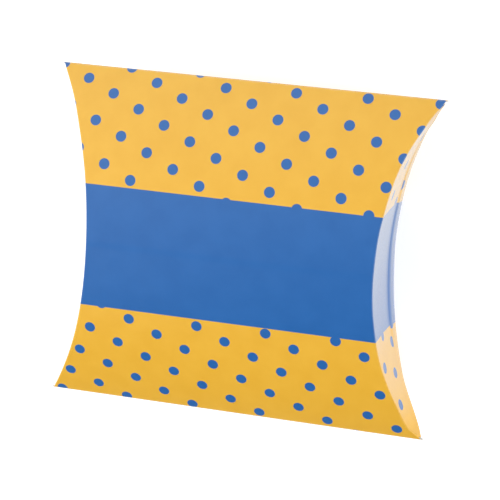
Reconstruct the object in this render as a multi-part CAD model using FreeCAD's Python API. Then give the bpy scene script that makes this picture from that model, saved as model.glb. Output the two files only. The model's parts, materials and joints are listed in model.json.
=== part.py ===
"""Pillow box, folded from one sheet of board, lying on its back panel.

X runs along the two folds, Y runs from the bottom fold to the top fold and Z runs from the crown of
the back panel, at zero, up to the crown of the front panel. Lengths are in millimetres.

Each panel is a circular shell. A curved crease lies in a plane at 45 degrees, so its flap is the
mirror image of the panel's own run-out: a shell of the same radius that stands upright.
"""

import FreeCAD
import Part
import os
from math import acos, asin, cos, hypot, pi, sin, sqrt

Vector = FreeCAD.Vector

# Outside of the box
fold_length = 150.0          # tip to tip along the front panel's folds
box_height = 131.5           # fold to fold, before the seam takes up its two boards
box_depth = 38.0             # crown of the back panel to crown of the front panel

# Board, folds and creases
board = 0.45                 # thickness of the board
fold_inner_radius = 0.25     # inside radius of the top and bottom folds
crease_slit = 0.06           # scored slit between a panel and its flap

# End flaps
flap_clearance = 0.2         # between the outer flap and the inner flap under it
flap_tip_gap = 0.3           # between a flap's tip and the fold beside it
outer_flap_overrun = 9.5     # how far its free edge passes the middle of the depth
inner_flap_overrun = 1.0     # the same for the flap underneath

# Glued seam at the bottom fold
tab_width = 13.0             # from the fold to the tab's free edge
tab_end_inset = 5.0          # from the fold's end to the tab's end, along the fold
tab_end_slant = 12.0         # how much further in the tab's free edge ends
glue_film = 0.06             # thickness of the glue
glue_margin = 1.5            # bare border around the glue

# Cutters reach this far past what they cut
cut_margin = 5.0

# Section of the box: two equal arcs, tangent to the rounded folds
half_depth = box_depth / 2
fold_radius = fold_inner_radius + board
fold_y = box_height / 2 - fold_radius
panel_radius = (fold_y**2 + half_depth**2 - fold_radius**2) / (2 * (half_depth - fold_radius))
arc_offset = panel_radius - half_depth
front_centre = Vector(0, 0, half_depth - arc_offset)
back_centre = Vector(0, 0, half_depth + arc_offset)
top_fold_centre = Vector(0, fold_y, half_depth)

# The bottom fold also touches the front arc, but its tab lies one board and the glue inside the back arc
front_reach = panel_radius - fold_radius
tab_outer_radius = panel_radius - board - glue_film
tab_inner_radius = tab_outer_radius - board
tab_reach = tab_outer_radius - fold_radius
seam_rise = (front_reach**2 - tab_reach**2) / (4 * arc_offset)
bottom_fold_centre = Vector(0, -sqrt(front_reach**2 - (arc_offset + seam_rise)**2), half_depth + seam_rise)

# Crease planes: the front ones meet the ends of the top fold, the back ones lie one nested flap further in
crease_x = fold_length / 2 + arc_offset * fold_radius / front_reach
nest_step = board + flap_clearance
flap_half_height = -bottom_fold_centre.y - flap_tip_gap
wide = fold_length / 2 + half_depth + cut_margin

# The finished box is centred between its folds
centre_y = (fold_y + bottom_fold_centre.y) / 2


def on_circle(centre, radius, angle):
    """Point in the YZ section, with the angle counted from +Y towards +Z."""
    return centre + Vector(0, radius * cos(angle), radius * sin(angle))


def direction(start, end):
    """Angle from start to end in the YZ section, from 0 to a full turn."""
    step = end - start
    angle = acos(step.y / hypot(step.y, step.z))
    return angle if step.z >= 0 else 2 * pi - angle


def curved_strip(centre, inner, outer, first, last, half_length):
    """Shell between two radii and two angles, running along X both ways from the middle."""
    middle = (first + last) / 2
    corners = [on_circle(centre, radius, angle) for radius, angle in
               ((inner, first), (outer, first), (outer, last), (inner, last))]
    edges = [
        Part.LineSegment(corners[0], corners[1]),
        Part.Arc(corners[1], on_circle(centre, outer, middle), corners[2]),
        Part.LineSegment(corners[2], corners[3]),
        Part.Arc(corners[3], on_circle(centre, inner, middle), corners[0]),
    ]
    section = Part.Face(Part.Wire([edge.toShape() for edge in edges]))
    section.translate(Vector(-half_length, 0, 0))
    return section.extrude(Vector(2 * half_length, 0, 0))


def mirrored_ends(shape):
    """The shape for the right end and its mirror image for the left end."""
    return shape, shape.mirror(Vector(0, 0, 0), Vector(1, 0, 0))


def turned_to_back(shape):
    """Mirror image in the plane halfway between the crowns."""
    return shape.mirror(Vector(0, 0, half_depth), Vector(0, 0, 1))


def beyond_crease(plane_x, slit):
    """Everything on the flap's side of the right front crease, past a slit of the given width.

    The crease is the ellipse that the crease plane cuts from the front arc. Carried along the
    plane's normal it gives the mitre between panel and flap.
    """
    outward = Vector(1, 0, -1).normalize()
    normal = Vector(1, 0, 1).normalize()
    centre = Vector(plane_x + arc_offset, 0, front_centre.z)
    crown = centre - outward * (sqrt(2) * panel_radius)
    ellipse = Part.Ellipse(crown, centre + Vector(0, panel_radius, 0), centre)
    reach_angle = asin((box_height / 2 + cut_margin) / panel_radius)
    arc = Part.ArcOfEllipse(ellipse, -reach_angle, reach_angle).toShape()
    first, last = arc.valueAt(arc.FirstParameter), arc.valueAt(arc.LastParameter)
    far = outward * (2 * box_depth)
    outline = Part.makePolygon([last, last + far, first + far, first])
    face = Part.Face(Part.Wire([arc] + outline.Edges))
    face.translate(outward * slit - normal * box_depth)
    return face.extrude(normal * (2 * box_depth))


def trimmed_panel(strip, cutter):
    """A panel cut along the creases at both of its ends."""
    for end in mirrored_ends(cutter):
        strip = strip.cut(end)
    return strip


def end_flap(plane_x, overrun):
    """Right front flap: an upright shell from its curved crease down to its free edge."""
    axis = Vector(plane_x + arc_offset, 0, -box_depth)
    upright = Vector(0, 0, 1)
    ring = Part.makeCylinder(panel_radius + board, 3 * box_depth, axis, upright).cut(
        Part.makeCylinder(panel_radius, 3 * box_depth, axis, upright))
    tip, low = half_depth, half_depth - overrun
    side = flap_half_height
    top = box_depth + cut_margin
    left_tip, right_tip = Vector(0, -side, tip), Vector(0, side, tip)
    free_edge = Part.Arc(left_tip, Vector(0, 0, low), right_tip).toShape()
    outline = Part.makePolygon([right_tip, Vector(0, side, top), Vector(0, -side, top), left_tip])
    shadow = Part.Face(Part.Wire([free_edge] + outline.Edges)).extrude(Vector(wide, 0, 0))
    return ring.common(shadow).common(beyond_crease(plane_x, crease_slit))


def front_panel():
    strip = curved_strip(front_centre, panel_radius - board, panel_radius,
                         direction(front_centre, top_fold_centre),
                         direction(front_centre, bottom_fold_centre), wide)
    return trimmed_panel(strip, beyond_crease(crease_x, 0))


def back_panel():
    strip = curved_strip(back_centre, panel_radius - board, panel_radius,
                         direction(back_centre, bottom_fold_centre),
                         direction(back_centre, top_fold_centre), wide)
    return trimmed_panel(strip, turned_to_back(beyond_crease(crease_x - nest_step, 0)))


def fold_strip(centre, first, last):
    """Rounded fold, as long as the front panel is at that fold."""
    corner_rise = (centre.z - front_centre.z) * panel_radius / front_reach - arc_offset
    return curved_strip(centre, fold_inner_radius, fold_radius, first, last, crease_x - corner_rise)


def top_fold():
    return fold_strip(top_fold_centre, direction(back_centre, top_fold_centre) - 2 * pi,
                      direction(front_centre, top_fold_centre))


def bottom_fold():
    return fold_strip(bottom_fold_centre, direction(front_centre, bottom_fold_centre),
                      direction(back_centre, bottom_fold_centre))


def seam_strip(inner, outer, border):
    """Strip inside the back panel along the bottom fold, with slanted ends and a bare border."""
    start = direction(back_centre, bottom_fold_centre) + border / tab_outer_radius
    width = tab_width - 2 * border
    end = start + width / tab_outer_radius
    strip = curved_strip(back_centre, inner, outer, start, end, wide)
    fold_side = on_circle(back_centre, inner, start).y - cut_margin
    free_side = on_circle(back_centre, outer, end).y + cut_margin
    slant = tab_end_slant / tab_width
    fold_end = fold_length / 2 - tab_end_inset - border
    near = fold_end + cut_margin * slant
    far = near - (free_side - fold_side) * slant
    outline = [Vector(near, fold_side, 0), Vector(far, free_side, 0),
               Vector(-far, free_side, 0), Vector(-near, fold_side, 0)]
    plan = Part.Face(Part.makePolygon(outline + outline[:1])).extrude(Vector(0, 0, box_depth))
    return strip.common(plan)


def seam_tab():
    return seam_strip(tab_inner_radius, tab_outer_radius, 0)


def seam_glue():
    return seam_strip(tab_outer_radius, panel_radius - board, glue_margin)


def all_pieces():
    outer_right, outer_left = mirrored_ends(end_flap(crease_x, outer_flap_overrun))
    inner = turned_to_back(end_flap(crease_x - nest_step, inner_flap_overrun))
    inner_right, inner_left = mirrored_ends(inner)
    return {
        "front_panel": front_panel(),
        "back_panel": back_panel(),
        "top_fold": top_fold(),
        "bottom_fold": bottom_fold(),
        "seam_tab": seam_tab(),
        "seam_glue": seam_glue(),
        "right_outer_flap": outer_right,
        "right_inner_flap": inner_right,
        "left_outer_flap": outer_left,
        "left_inner_flap": inner_left,
    }


def main():
    os.makedirs("parts", exist_ok=True)
    for name, shape in all_pieces().items():
        shape.translate(Vector(0, -centre_y, 0))
        solids = shape.Solids
        box = shape.BoundBox
        print(name, "solids", len(solids), "valid", shape.isValid(), "volume", round(shape.Volume, 2),
              "from", [round(value, 2) for value in (box.XMin, box.YMin, box.ZMin)],
              "to", [round(value, 2) for value in (box.XMax, box.YMax, box.ZMax)])
        solids[0].exportStep("parts/" + name + ".step")


main()
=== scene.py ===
import json
from math import atan2, cos, pi, radians, sin, sqrt

import bpy
import numpy as np
from mathutils import Matrix, Vector


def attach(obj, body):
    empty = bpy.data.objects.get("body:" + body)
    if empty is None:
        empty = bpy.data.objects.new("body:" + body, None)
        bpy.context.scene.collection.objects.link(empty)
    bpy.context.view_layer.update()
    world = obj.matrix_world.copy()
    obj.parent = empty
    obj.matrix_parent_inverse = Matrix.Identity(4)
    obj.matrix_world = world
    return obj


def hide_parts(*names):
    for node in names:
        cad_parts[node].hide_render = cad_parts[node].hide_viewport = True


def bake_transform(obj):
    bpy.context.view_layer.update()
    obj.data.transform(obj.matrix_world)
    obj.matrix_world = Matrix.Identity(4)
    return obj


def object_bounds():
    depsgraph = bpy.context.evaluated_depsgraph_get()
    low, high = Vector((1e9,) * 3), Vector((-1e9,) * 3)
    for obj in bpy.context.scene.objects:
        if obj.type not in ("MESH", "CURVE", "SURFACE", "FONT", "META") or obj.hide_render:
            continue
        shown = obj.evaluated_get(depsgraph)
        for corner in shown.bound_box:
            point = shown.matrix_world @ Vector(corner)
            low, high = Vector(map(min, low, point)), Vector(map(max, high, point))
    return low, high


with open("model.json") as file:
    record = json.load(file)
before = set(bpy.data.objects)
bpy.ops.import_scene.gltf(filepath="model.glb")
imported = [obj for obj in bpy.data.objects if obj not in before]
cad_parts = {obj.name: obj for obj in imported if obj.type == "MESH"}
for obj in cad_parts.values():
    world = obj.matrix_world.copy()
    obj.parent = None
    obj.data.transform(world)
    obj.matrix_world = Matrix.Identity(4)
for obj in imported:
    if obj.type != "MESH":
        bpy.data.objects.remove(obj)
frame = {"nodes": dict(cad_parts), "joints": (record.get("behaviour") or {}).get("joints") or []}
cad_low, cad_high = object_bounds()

# A pillow box of printed board, lying on its back panel. Lengths are in millimetres, apart from
# those of the lamps and the floor, which are in metres.
MM = 0.001

# Board and folds
board = 0.45
box_height = 131.5            # fold to fold, before the seam takes up its two boards
fold_inner_radius = 0.25
glue_film = 0.06
crease_radius = 0.5           # outside of a curved crease
flap_tip_gap = 0.3
overrun = {"outer": 9.5, "inner": 1.0}   # of a flap's free edge past the middle of the depth

# Sag of a closed outer flap: how far it sinks in from its crease to its free edge and how bowed
# that is, then how far the free edge stands out again and over which width
dish, dish_bow = 1.2, 0.3
lip, lip_width = 0.22, 2.6

# Sag of a closed inner flap: how far it sinks under the outer one and between which distances from
# its crease, then the slope it starts with, how that changes with height and over which width
dive, dive_start, dive_end = 1.02, 5.8, 10.4
swell, swell_twist, swell_width = 0.04, -0.0008, 9.0

# Heights, counted from the middle of the box, between which dish, lip and dive set in
sag_low, sag_high = -36.0, -20.0

# Where the curved creases stray from the plan: pairs of height and distance along X
right_front_stray = ((-66.0, 1.0), (-60.0, -1.6), (-50.0, -0.75), (-36.0, -0.65), (-16.0, -0.15),
                     (4.0, 0.0), (20.0, -0.4), (43.0, -1.25), (58.0, -0.6), (66.0, 0.3))
right_back_stray = ((-66.0, 1.6), (-61.0, 2.1), (-43.0, 0.5), (-8.0, 0.35), (8.0, 0.0),
                    (36.0, 0.0), (46.0, 0.2), (51.5, 0.28), (57.5, 1.05), (66.0, 1.1))
left_stray = ((-66.0, 0.0), (-40.0, 0.35), (0.0, 0.05), (32.0, 0.34), (42.0, 0.36), (53.0, 0.58),
              (66.0, 0.1))
stray_start, stray_end = 40.0, 62.0      # distances from the middle between which it sets in
stray_step = 0.01                        # over which its slope is taken

# Numbers of points on the sheets
crease_points = 141           # along a curved crease
panel_points = 73             # from end to end of a panel
flap_points = 25              # from a flap's crease to its free edge
roll_points = 6               # round half of a crease
fold_points, fold_stations = 17, 61      # round a fold and along it

# Print: square rows of dots at a slant, and a plain band along the folds
dot_pitch = 12.262
dot_diameter = 4.25
dot_slant = radians(-24.97)
dot_start = (-63.45, 63.72)
band_low, band_high = -25.15, 23.0       # from the middle of a panel, along the board
print_softness = 0.12
back_print_shift = -12.5                 # from the front's dots to the back's, along the folds
print_climb, climb_width = 0.06, 12.0    # slope of a flap's print, and how far from its crease

# Colours, in pairs that a surface varies between
yellow_ink = (0.895, 0.482, 0.035), (0.925, 0.512, 0.043)
blue_ink = (0.012, 0.131, 0.435), (0.016, 0.143, 0.461)
inside_tones = (0.74, 0.72, 0.67), (0.80, 0.79, 0.75)
edge_tones = (0.66, 0.63, 0.56), (0.80, 0.78, 0.73)
glue_tones = (0.80, 0.77, 0.66), (0.88, 0.86, 0.78)
# Pale tone of ink thinned by rubbing at folds and creases, partly a painted highlight along the
# creases
worn_and_highlight_tone = (0.80, 0.78, 0.72)

# Noise: size of its features and level of detail
ink_mottle = 9.0, 5.0
ink_grain = 0.6, 6.0
ink_wave = 14.0, 2.0
wear_and_highlight_patches = 1.2, 4.0
inside_fibre = 0.9, 6.0
edge_fibre = 0.3, 6.0
glue_streaks = 4.0, 4.0

# Levels of a noise between which it takes effect
noise_spread = 0.3, 0.7
mottle_spread = 0.35, 0.65
wear_and_highlight_spread = 0.4, 0.8

# Roughness from least to most, and relief as strength and height
ink_roughness, ink_relief = (0.28, 0.38), (0.25, 0.6)
board_roughness = 0.75, 0.9
inside_relief, edge_relief = (0.25, 0.15), (0.5, 0.15)
glue_roughness, glue_relief = (0.25, 0.45), (0.3, 0.3)
coating = {"IOR": 1.58, "Coat Weight": 1.0, "Coat Roughness": 0.12, "Coat IOR": 1.58}

# Ink thinned by rubbing at folds and creases, its paler tone partly a painted highlight along the
# creases: how far it reaches from a fold or crease, and which share of the ink it takes
wear_and_highlight_width = 0.3
wear_and_highlight_share = 0.04, 0.3

# Camera, as seen from the front of the box
view_aim = Vector((3.5, 0.2, 19.0))
view_azimuth, view_elevation, view_roll = radians(16.017), radians(13.555), radians(3.174)
view_distance = 807.6
view_lens, view_sensor = 151.8, 36.0

# Light from all round, brighter towards both ends of the box and its top fold
sky_sides = (Vector((-0.94, 0.32, 0.08)), Vector((0.94, 0.32, 0.08)))
sky_dim, sky_bright = 0.09, 0.82
sky_from, sky_to = 0.08, 0.72            # where it brightens, as the cosine to the nearer side
sky_low, sky_rise = 0.5, 0.6             # share left at the horizon, and height where it is whole

# Lamps: place, size and level
left_lamp = Vector((-1.05, -0.28, 0.68)), 1.35, 0.71
right_lamp = Vector((1.7, 0.3, 1.05)), 2.1, 0.44

# Floor
floor_size = 8.0
floor_tone, floor_lift = 0.8, 0.55       # its shade, and how much brighter the camera sees it
floor_fade = 0.3, 0.9                    # distances between which it turns plain white

# Shared by the node trees: plain white, and the sockets of a colour mix
white = (1, 1, 1, 1)
mix_factor, mix_first, mix_second, mix_result = 0, 6, 7, 2

# Section of the box: two equal arcs, tangent to the rounded folds
depth = (cad_high.z - cad_low.z) / MM
half_depth = depth / 2
fold_radius = fold_inner_radius + board
fold_y = box_height / 2 - fold_radius
panel_radius = (fold_y**2 + half_depth**2 - fold_radius**2) / (2 * (half_depth - fold_radius))
arc_offset = panel_radius - half_depth
front_reach = panel_radius - fold_radius
tab_reach = front_reach - board - glue_film
seam_rise = (front_reach**2 - tab_reach**2) / (4 * arc_offset)
seam_y = -sqrt(front_reach**2 - (arc_offset + seam_rise)**2)
middle_y = cad_high.y / MM - fold_radius - fold_y

# Ends of the arcs, as angles from the crown
top_angle = atan2(fold_y, arc_offset)
front_seam_angle = atan2(-seam_y, arc_offset + seam_rise)
back_seam_angle = atan2(-seam_y, arc_offset - seam_rise)

# Crease planes, from the hinges of the frame
hinge_x = {joint["child"]: abs(joint["pos_m"][0]) / MM for joint in frame["joints"]}
crease_x = {layer: hinge_x[f"right_{layer}_flap"] + half_depth for layer in ("outer", "inner")}
fold_end = crease_x["outer"] - panel_radius * cos(top_angle) + arc_offset
flap_side = -seam_y - flap_tip_gap

# Along the board, from the middle of a panel to its ends and to the middle of the top fold
panel_top = panel_radius * top_angle
front_bottom = -panel_radius * front_seam_angle
back_bottom = -panel_radius * back_seam_angle
half_fold = fold_radius * (pi / 2 - top_angle)
fold_middle = panel_top + half_fold


def smooth(value, low, high):
    """Eased share of the way from low to high."""
    share = np.clip((value - low) / (high - low), 0, 1)
    return share * share * (3 - 2 * share)


def unit(vectors):
    """Vectors of the same directions and of length 1."""
    return vectors / np.linalg.norm(vectors, axis=-1, keepdims=True)


def through(height, pairs):
    """Smooth curve through pairs of height and value."""
    value = pairs[0][1]
    for (low, before), (high, after) in zip(pairs, pairs[1:]):
        value = value + (after - before) * smooth(height, low, high)
    return value


def stray(points):
    """How far points lie along X from where they are planned."""
    x, y, z = points[..., 0], points[..., 1], points[..., 2]
    bulge = np.sqrt(panel_radius**2 - np.clip(y, -fold_y, fold_y)**2) - arc_offset
    back_share = np.clip((half_depth + bulge - z) / (2 * bulge), 0, 1)
    front, back = through(y, right_front_stray), through(y, right_back_stray)
    right = smooth(x, stray_start, stray_end) * (front + (back - front) * back_share)
    return right + smooth(-x, stray_start, stray_end) * through(y, left_stray)


def strayed(points, normals, inside):
    """The sheet with its ends astray, its normals turned to suit, and how far its outside went."""
    slope = np.stack([(stray(points + axis) - stray(points - axis)) / (2 * stray_step)
                      for axis in np.eye(3) * stray_step], -1)
    turned = unit(normals - slope * (normals[..., :1] / (1 + slope[..., :1])))
    along_x = np.array([1.0, 0, 0])
    moved = stray(points)
    points = points + moved[..., None] * along_x
    inside = inside + stray(inside)[..., None] * along_x
    return points, turned, inside, moved


def crease(layer, along):
    """Points, panel normals and flap normals of a crease, and the turn between the normals.

    They are given at distances along the board from the middle of the panel.
    """
    angle = along / panel_radius
    s, c, zero = np.sin(angle), np.cos(angle), np.zeros_like(angle)
    bulge = panel_radius * c - arc_offset
    point = np.stack([crease_x[layer] - bulge, panel_radius * s, half_depth + bulge], -1)
    return point, np.stack([zero, s, c], -1), np.stack([c, -s, zero], -1), np.arccos(-s * s)


def crease_roll(layer, along, first, last):
    """Half of the rounded crease, as grids of outer points, normals and inner points.

    It runs between two shares of the turn, which is 0 at the panel and 1 at the flap.
    """
    point, panel, flap, turn = crease(layer, along)
    share = np.linspace(first, last, roll_points)[None, :, None]
    turn = turn[:, None, None]
    normal = np.sin(turn * (1 - share)) * panel[:, None] + np.sin(turn * share) * flap[:, None]
    normal = normal / np.sin(turn)
    inward = (panel + flap)[:, None] / (1 + np.cos(turn))
    centre = point[:, None] - inward * crease_radius
    side = panel if first == 0 else flap
    tangent = centre + side[:, None] * (crease_radius - board)
    corner = point[:, None] - inward * board
    inner = corner + (tangent - corner) * 2 * np.abs(share - 0.5)
    return centre + normal * crease_radius, normal, inner


def panel_sheet(layer, low, high):
    """Bowed panel between its two curved creases, from one fold to the other.

    Every sheet is given by grids of outer points, normals, inner points, places in the print and
    distances from the nearest fold or crease.
    """
    along = np.linspace(low, high, crease_points)
    point, normal, _, _ = crease(layer, along)
    outer, roll_normal, inner = crease_roll(layer, along, 0, 0.5)
    share = np.linspace(-1, 1, panel_points)[1:-1]
    flat = np.repeat(point[:, None], len(share), 1)
    flat[..., 0] = outer[:, :1, 0] * share
    flat_normal = np.repeat(normal[:, None], len(share), 1)
    flip = np.array([-1, 1, 1])
    points = np.concatenate([outer[:, ::-1] * flip, flat, outer], 1)
    normals = np.concatenate([roll_normal[:, ::-1] * flip, flat_normal, roll_normal], 1)
    inside = np.concatenate([inner[:, ::-1] * flip, flat - flat_normal * board, inner], 1)
    uv = np.stack([points[..., 0], panel_radius * np.arcsin(points[..., 1] / panel_radius)], -1)
    crease_gap = np.abs(point[:, None, 0]) - np.abs(points[..., 0])
    wear_and_highlight_gap = np.minimum(crease_gap, np.minimum(high - along, along - low)[:, None])
    return points, normals, inside, uv, wear_and_highlight_gap


def flap_sheet(layer):
    """Upright right-hand flap from its crease to its free edge, and how far each point turns."""
    limit = panel_radius * np.arcsin(flap_side / panel_radius)
    along = np.linspace(-limit, limit, crease_points)
    point, _, normal, _ = crease(layer, along)
    outer, roll_normal, inner = crease_roll(layer, along, 0.5, 1)
    reach = overrun[layer]
    edge_radius = (flap_side**2 + reach**2) / (2 * reach)
    free_z = half_depth - reach + edge_radius - np.sqrt(edge_radius**2 - point[:, 1]**2)
    share = np.linspace(0, 1, flap_points)[None, 1:]
    start_z = outer[:, -1:, 2]
    flat = np.repeat(point[:, None], share.shape[1], 1)
    flat[..., 2] = start_z + (free_z[:, None] - start_z) * share
    rise = flap_rise(layer, start_z - flat[..., 2], share, point[:, 1:2])
    flat = flat + normal[:, None] * rise[..., None]
    flat_normal = unit(np.cross(np.gradient(flat, axis=0), np.gradient(flat, axis=1)))
    flat_normal *= np.sign((flat_normal * normal[:, None]).sum(-1, keepdims=True))
    points = np.concatenate([outer, flat], 1)
    normals = np.concatenate([roll_normal, flat_normal], 1)
    inside = np.concatenate([inner, flat - flat_normal * board], 1)
    fallen = np.maximum(point[:, None, 2] - points[..., 2], 0)
    climb = print_climb * np.minimum(fallen, climb_width)
    uv = np.stack([point[:, None, 0] + fallen, along[:, None] - climb], -1)
    turned = np.stack([turn_share(layer, points, panel_radius),
                       turn_share(layer, inside, panel_radius - board)])
    return (points, normals, inside, uv, fallen), turned


def flap_rise(layer, fallen, share, height):
    """How far a closed flap stands out from its plan.

    Its points are given by their distance from the crease, the share that this is of the way to
    the free edge, and their height.
    """
    length = fallen[:, -1:]
    fade = length / length.max()
    sag = fade * smooth(height, sag_low, sag_high)
    if layer == "outer":
        edge = np.clip(1 - (length - fallen) / (lip_width * fade), 0, 1)
        return sag * (lip * edge**2 - dish * share * (1 + dish_bow * (1 - share)))
    swelling = (swell + swell_twist * height) * fallen
    swelling = swelling * np.clip(1 - fallen / (swell_width * fade), 0, 1)**2
    return swelling - sag * dive * smooth(fallen / fade, dive_start, dive_end)


def turn_share(layer, points, radius):
    """How much of a quarter turn about the hinge brings each point into line with its panel."""
    right, down = points[..., 0] - crease_x[layer] + half_depth, depth - points[..., 2]
    level = half_depth + arc_offset - np.sqrt(radius**2 - points[..., 1]**2)
    inline = np.arcsin(np.clip(level / np.hypot(right, down), -1, 1))
    return np.clip((np.arctan2(down, right) - inline) * 2 / pi, 0, 1)


def fold_sheet(centre_y, centre_z, first, last, along):
    """Rounded fold between two angles, which count from +Y towards +Z.

    The distance along the board is given at the first angle.
    """
    angle = np.linspace(first, last, fold_points)
    x = np.linspace(-fold_end, fold_end, fold_stations)
    normal = np.stack([np.zeros_like(angle), np.cos(angle), np.sin(angle)], -1)
    normals = np.repeat(normal[:, None], len(x), 1)
    centre = np.zeros(normals.shape)
    centre[..., 0], centre[..., 1], centre[..., 2] = x, centre_y, centre_z
    uv = np.zeros((*normals.shape[:2], 2))
    uv[..., 0] = x
    uv[..., 1] = (along - fold_radius * (angle - first))[:, None]
    behind = uv[..., 1] > fold_middle
    uv[behind] = np.array([back_print_shift, 2 * fold_middle]) - uv[behind]
    points, inside = centre + normals * fold_radius, centre + normals * fold_inner_radius
    return points, normals, inside, uv, np.zeros(normals.shape[:2])


def print_turned(sheet):
    """The sheet with its print running the other way along the folds."""
    points, normals, inside, uv, wear_and_highlight_gap = sheet
    return points, normals, inside, uv * np.array([-1, 1]), wear_and_highlight_gap


def add_sheet(name, sheet, materials, mirror_x=False, mirror_z=False):
    """Closed mesh of one sheet of board: printed outside, plain inside and raw at its cut edges."""
    points, normals, inside, uv, wear_and_highlight_gap = sheet
    rows, columns = points.shape[:2]
    count = rows * columns
    flip = np.array([-1 if mirror_x else 1, 1, -1 if mirror_z else 1])
    lift = np.array([0, 0, depth if mirror_z else 0])
    points, normals, inside, moved = strayed(points * flip + lift, normals * flip,
                                             inside * flip + lift)
    shift = back_print_shift - moved if mirror_z else moved
    uv = uv + np.stack([shift, np.zeros_like(shift)], -1)
    vertices = np.concatenate([points.reshape(-1, 3), inside.reshape(-1, 3)])
    vertices = (vertices + np.array([0, middle_y, 0])) * MM
    vertex_normals = np.concatenate([normals.reshape(-1, 3), -normals.reshape(-1, 3)])

    ids = np.arange(count).reshape(rows, columns)
    quads = np.stack([ids[:-1, :-1], ids[1:, :-1], ids[1:, 1:], ids[:-1, 1:]], -1).reshape(-1, 4)
    ring = np.concatenate([ids[0, :-1], ids[:-1, -1], ids[-1, :0:-1], ids[:0:-1, 0]])
    after = np.roll(ring, -1)
    rim = np.stack([ring, after, after + count, ring + count], -1)
    faces = np.concatenate([quads, quads[:, ::-1] + count, rim])
    middle = quads[len(quads) // 2]
    a, b, c, _ = vertices[middle]
    if np.cross(b - a, c - a) @ vertex_normals[middle[0]] < 0:
        faces = faces[:, ::-1]

    mesh = bpy.data.meshes.new(name)
    mesh.from_pydata(vertices.tolist(), [], faces.tolist())
    for finish in materials:
        mesh.materials.append(finish)
    kind = np.repeat([0, 1, 2], [len(quads), len(quads), len(rim)])
    mesh.polygons.foreach_set("material_index", kind.astype(np.int32))
    mesh.polygons.foreach_set("use_smooth", np.ones(len(faces), bool))
    loops = faces.ravel()
    blank = mesh.uv_layers.new(name="blank")
    both = np.tile(uv.reshape(-1, 2), (2, 1))
    blank.uv.foreach_set("vector", both[loops].astype(np.float32).ravel())
    wear_and_highlight_layer = mesh.attributes.new("wear_and_highlight_gap", "FLOAT", "POINT")
    wear_and_highlight_layer.data.foreach_set("value", np.tile(wear_and_highlight_gap.ravel(), 2).astype(np.float32))

    corner_normals = vertex_normals[loops].reshape(-1, 4, 3)
    edge = vertices[faces[-len(rim):]]
    edge_normals = unit(np.cross(edge[:, 2] - edge[:, 0], edge[:, 3] - edge[:, 1]))
    corner_normals[-len(rim):] = edge_normals[:, None]
    mesh.normals_split_custom_set(corner_normals.reshape(-1, 3).tolist())
    piece = bpy.data.objects.new(name, mesh)
    bpy.context.scene.collection.objects.link(piece)
    return piece


def bend_open(piece, turned):
    """Lays a flap's points along X for a moment, each where the eased blend gives its share of the
    turn, bakes the object's transform and puts the points back.
    """
    mesh = piece.data
    shape = np.zeros(len(mesh.vertices) * 3, np.float32)
    mesh.vertices.foreach_get("co", shape)
    level = np.zeros((len(mesh.vertices), 3), np.float32)
    level[:, 0] = 0.5 - np.sin(np.arcsin(1 - 2 * turned.ravel()) / 3)
    mesh.vertices.foreach_set("co", level.ravel())
    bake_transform(piece)
    mesh.vertices.foreach_set("co", shape)
    mesh.update()


def material(name):
    """New material and its empty node tree."""
    found = bpy.data.materials.new(name)
    found.use_nodes = True
    tree = found.node_tree
    tree.nodes.clear()
    return found, tree


def add(tree, kind, links=None, **settings):
    """New node with its settings, its sockets set to values or joined to other nodes' outputs."""
    made = tree.nodes.new("ShaderNode" + kind)
    for key, value in settings.items():
        setattr(made, key, value)
    for key, value in (links or {}).items():
        if isinstance(value, bpy.types.NodeSocket):
            tree.links.new(value, made.inputs[key])
        else:
            made.inputs[key].default_value = value
    return made


def out(made, key=0):
    """Output of a node."""
    return made.outputs[key]


def calculate(tree, operation, *values):
    """Result of one operation on values or outputs."""
    return out(add(tree, "Math", dict(enumerate(values)), operation=operation))


def noise(tree, size, detail):
    """Noise with features of the given size in millimetres."""
    place = out(add(tree, "TexCoord"), "Object")
    return out(add(tree, "TexNoise", {"Vector": place, "Scale": 1 / (size * MM), "Detail": detail}))


def two_tone(tree, factor, first, second):
    """Mix of two colours, which are tones or outputs."""
    first, second = (colour if isinstance(colour, bpy.types.NodeSocket) else (*colour, 1)
                     for colour in (first, second))
    links = {mix_factor: factor, mix_first: first, mix_second: second}
    return out(add(tree, "Mix", links, data_type="RGBA"), mix_result)


def ramp(tree, value, low, high, to_low=0.0, to_high=1.0, **settings):
    """Value brought from one range to another and held within it."""
    links = {"Value": value, "From Min": low, "From Max": high, "To Min": to_low, "To Max": to_high}
    return out(add(tree, "MapRange", links, **settings))


def surface(tree, colour, roughness, height, relief, fixed=None):
    """Principled surface with a bumped normal."""
    strength, distance = relief
    bump = add(tree, "Bump", {"Height": height, "Strength": strength, "Distance": distance * MM})
    links = {"Base Color": colour, "Roughness": roughness, "Normal": out(bump)}
    shader = add(tree, "BsdfPrincipled", {**links, **(fixed or {})})
    tree.links.new(out(shader), add(tree, "OutputMaterial").inputs[0])


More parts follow.
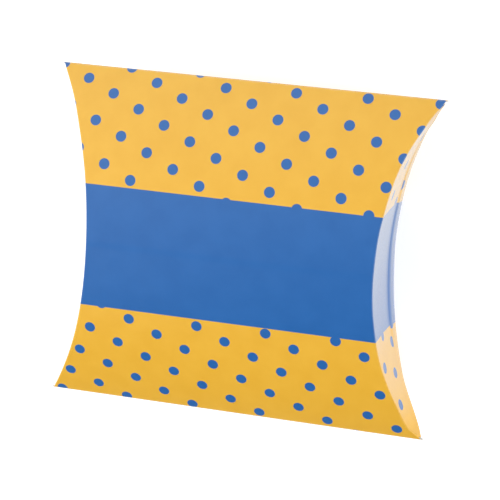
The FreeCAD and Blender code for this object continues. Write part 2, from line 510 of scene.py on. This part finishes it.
def print_ink(tree):
    """How much of the board is blue: its dots and its band."""
    uv = out(add(tree, "UVMap", uv_map="blank"))
    rows = {"Location": (*dot_start, 0), "Rotation": (0, 0, dot_slant),
            "Scale": (dot_pitch, dot_pitch, 1)}
    cell = add(tree, "Mapping", {"Vector": uv, **rows}, vector_type="TEXTURE")
    half_cell = (0.5, 0.5, 0)
    cell = add(tree, "VectorMath", {0: out(cell), 1: half_cell}, operation="ADD")
    cell = add(tree, "VectorMath", {0: out(cell)}, operation="FRACTION")
    cell = add(tree, "VectorMath", {0: out(cell), 1: half_cell}, operation="SUBTRACT")
    centre_gap = out(add(tree, "VectorMath", {0: out(cell)}, operation="LENGTH"), "Value")
    dot, soft = dot_diameter / dot_pitch / 2, print_softness / dot_pitch
    dots = ramp(tree, centre_gap, dot + soft, dot - soft)
    along = out(add(tree, "SeparateXYZ", {0: uv}), "Y")
    from_band = calculate(tree, "SUBTRACT", along, (band_low + band_high) / 2)
    from_band = calculate(tree, "ABSOLUTE", from_band)
    half_band = (band_high - band_low) / 2
    band = ramp(tree, from_band, half_band + print_softness, half_band - print_softness)
    return calculate(tree, "MAXIMUM", dots, band)


def printed_board():
    """Satin coated print over white board, its ink thinned by rubbing at folds and creases and
    paled there partly as a painted highlight.
    """
    found, tree = material("printed_board")
    ink = print_ink(tree)
    mottle = ramp(tree, noise(tree, *ink_mottle), *mottle_spread)
    yellow = two_tone(tree, mottle, *yellow_ink)
    blue = two_tone(tree, mottle, *blue_ink)
    colour = two_tone(tree, ink, yellow, blue)
    # Near folds and creases the print pales: ink thinned by rubbing, and partly a painted highlight
    # along the creases
    edge_gap = out(add(tree, "Attribute", attribute_name="wear_and_highlight_gap"), "Fac")
    rubbed_and_highlit = ramp(tree, edge_gap, wear_and_highlight_width, 0.0)
    patchy_wear_and_highlight = ramp(tree, noise(tree, *wear_and_highlight_patches), *wear_and_highlight_spread, *wear_and_highlight_share)
    colour = two_tone(tree, calculate(tree, "MULTIPLY", rubbed_and_highlit, patchy_wear_and_highlight), colour, worn_and_highlight_tone)
    grain = ramp(tree, noise(tree, *ink_grain), *noise_spread, *ink_roughness)
    surface(tree, colour, grain, noise(tree, *ink_wave), ink_relief, coating)
    return found


def plain_board(name, tones, fibre, relief):
    """Uncoated white board with a faint fibre."""
    found, tree = material(name)
    grain = noise(tree, *fibre)
    colour = two_tone(tree, ramp(tree, grain, *noise_spread), *tones)
    surface(tree, colour, ramp(tree, grain, *noise_spread, *board_roughness), grain, relief)
    return found


def dried_glue():
    """Yellowish film with streaks."""
    found, tree = material("dried_glue")
    streak = noise(tree, *glue_streaks)
    colour = two_tone(tree, streak, *glue_tones)
    surface(tree, colour, ramp(tree, streak, *noise_spread, *glue_roughness), streak, glue_relief)
    return found


def pale_floor():
    """White floor that keeps a soft shadow, and shows plain white far off and in reflections."""
    found, tree = material("pale_floor")
    path = add(tree, "LightPath")
    mirrored = calculate(tree, "MAXIMUM", out(path, "Is Glossy Ray"),
                         out(path, "Is Transmission Ray"))
    matt = add(tree, "BsdfDiffuse", {"Color": (floor_tone, floor_tone, floor_tone, 1)})
    lift = add(tree, "Emission", {"Color": white, "Strength": floor_lift})
    plain = add(tree, "Emission", {"Color": white, "Strength": 1.0})
    seen = add(tree, "AddShader", {0: out(matt), 1: out(lift)})
    place = out(add(tree, "TexCoord"), "Object")
    from_box = out(add(tree, "VectorMath", {0: place}, operation="LENGTH"), "Value")
    far = ramp(tree, from_box, *floor_fade)
    seen = add(tree, "MixShader", {0: far, 1: out(seen), 2: out(plain)})
    mixed = add(tree, "MixShader", {0: out(path, "Is Camera Ray"), 1: out(matt), 2: out(seen)})
    mixed = add(tree, "MixShader", {0: mirrored, 1: out(mixed), 2: out(plain)})
    tree.links.new(out(mixed), add(tree, "OutputMaterial").inputs[0])
    return found


def studio():
    """World that lights the box from its two ends and its top fold, and looks plain white."""
    world = bpy.data.worlds.new("studio")
    world.use_nodes = True
    tree = world.node_tree
    tree.nodes.clear()
    path = add(tree, "LightPath")
    way = out(add(tree, "TexCoord"), "Generated")
    sides = [add(tree, "VectorMath", {0: way, 1: side.normalized()}, operation="DOT_PRODUCT")
             for side in sky_sides]
    facing = calculate(tree, "MAXIMUM", *(out(side, "Value") for side in sides))
    glow = ramp(tree, facing, sky_from, sky_to, sky_dim, sky_bright,
                interpolation_type="SMOOTHSTEP")
    height = out(add(tree, "SeparateXYZ", {0: way}), "Z")
    level = calculate(tree, "MULTIPLY", glow, ramp(tree, height, 0.0, sky_rise, sky_low))
    light = add(tree, "Background", {"Color": white, "Strength": level})
    plain = add(tree, "Background", {"Color": white, "Strength": 1.0})
    mixed = add(tree, "MixShader", {0: out(path, "Is Camera Ray"), 1: out(light), 2: out(plain)})
    tree.links.new(out(mixed), add(tree, "OutputWorld").inputs[0])
    return world


def soft_light(name, place, size, level):
    """Square lamp aimed at the box, without glare.

    Alone, it lights a white face turned to it to the given level.
    """
    lamp = bpy.data.lights.new(name, "AREA")
    lamp.shape = "SQUARE"
    lamp.size = size
    edge = sin(atan2(size / 2, place.length))
    lamp.energy = level * (pi * size)**2 / (4 * edge * atan2(edge, 1))
    made = bpy.data.objects.new(name, lamp)
    made.location = place
    made.rotation_euler = place.to_track_quat("Z", "Y").to_euler()
    made.visible_glossy = False
    bpy.context.scene.collection.objects.link(made)


def add_camera():
    """Camera in front of the box, a little above and to the right, upright along its height."""
    level = cos(view_elevation)
    back = Vector((sin(view_azimuth) * level, sin(view_elevation), cos(view_azimuth) * level))
    right = Vector((0, 1, 0)).cross(back).normalized()
    up = back.cross(right)
    lean, rise = sin(view_roll), cos(view_roll)
    right, up = right * rise + up * lean, up * rise - right * lean
    data = bpy.data.cameras.new("camera")
    data.lens = view_lens
    data.sensor_width = view_sensor
    made = bpy.data.objects.new("camera", data)
    pose = Matrix((right, up, back)).transposed().to_4x4()
    pose.translation = (view_aim + back * view_distance) * MM
    made.matrix_world = pose
    bpy.context.scene.collection.objects.link(made)
    bpy.context.scene.camera = made


# Pieces of the box
printed = printed_board()
inside_board = plain_board("inside_board", inside_tones, inside_fibre, inside_relief)
raw_edge = plain_board("raw_edge", edge_tones, edge_fibre, edge_relief)
sheet_materials = (printed, inside_board, raw_edge)

sheets = {
    "front_panel": panel_sheet("outer", front_bottom, panel_top),
    "back_panel": print_turned(panel_sheet("inner", back_bottom, panel_top)),
    "top_fold": fold_sheet(fold_y, half_depth, top_angle - pi / 2, pi / 2 - top_angle,
                           fold_middle + half_fold),
    "bottom_fold": fold_sheet(seam_y, half_depth + seam_rise, pi / 2 + front_seam_angle,
                              3 * pi / 2 - back_seam_angle, front_bottom),
}
for name, sheet in sheets.items():
    piece = add_sheet("printed_" + name, sheet, sheet_materials, mirror_z=name == "back_panel")
    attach(piece, "box")
    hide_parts(name)

for layer in ("outer", "inner"):
    right_sheet, turned = flap_sheet(layer)
    for side in ("right", "left"):
        flap = f"{side}_{layer}_flap"
        at_left, at_back = side == "left", layer == "inner"
        sheet = right_sheet if at_left == at_back else print_turned(right_sheet)
        piece = add_sheet("printed_" + flap, sheet, sheet_materials, at_left, at_back)
        bend_open(piece, turned)
        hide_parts(flap)

for name, finish in (("seam_tab", inside_board), ("seam_glue", dried_glue())):
    node = frame["nodes"][name]
    node.data.materials.clear()
    node.data.materials.append(finish)

# Stage
bpy.ops.mesh.primitive_plane_add(size=floor_size)
floor = bpy.context.object
floor.name = "floor"
floor.data.materials.append(pale_floor())

scene = bpy.context.scene
scene.world = studio()
soft_light("left_light", *left_lamp)
soft_light("right_light", *right_lamp)
add_camera()
scene.view_settings.view_transform = "Standard"
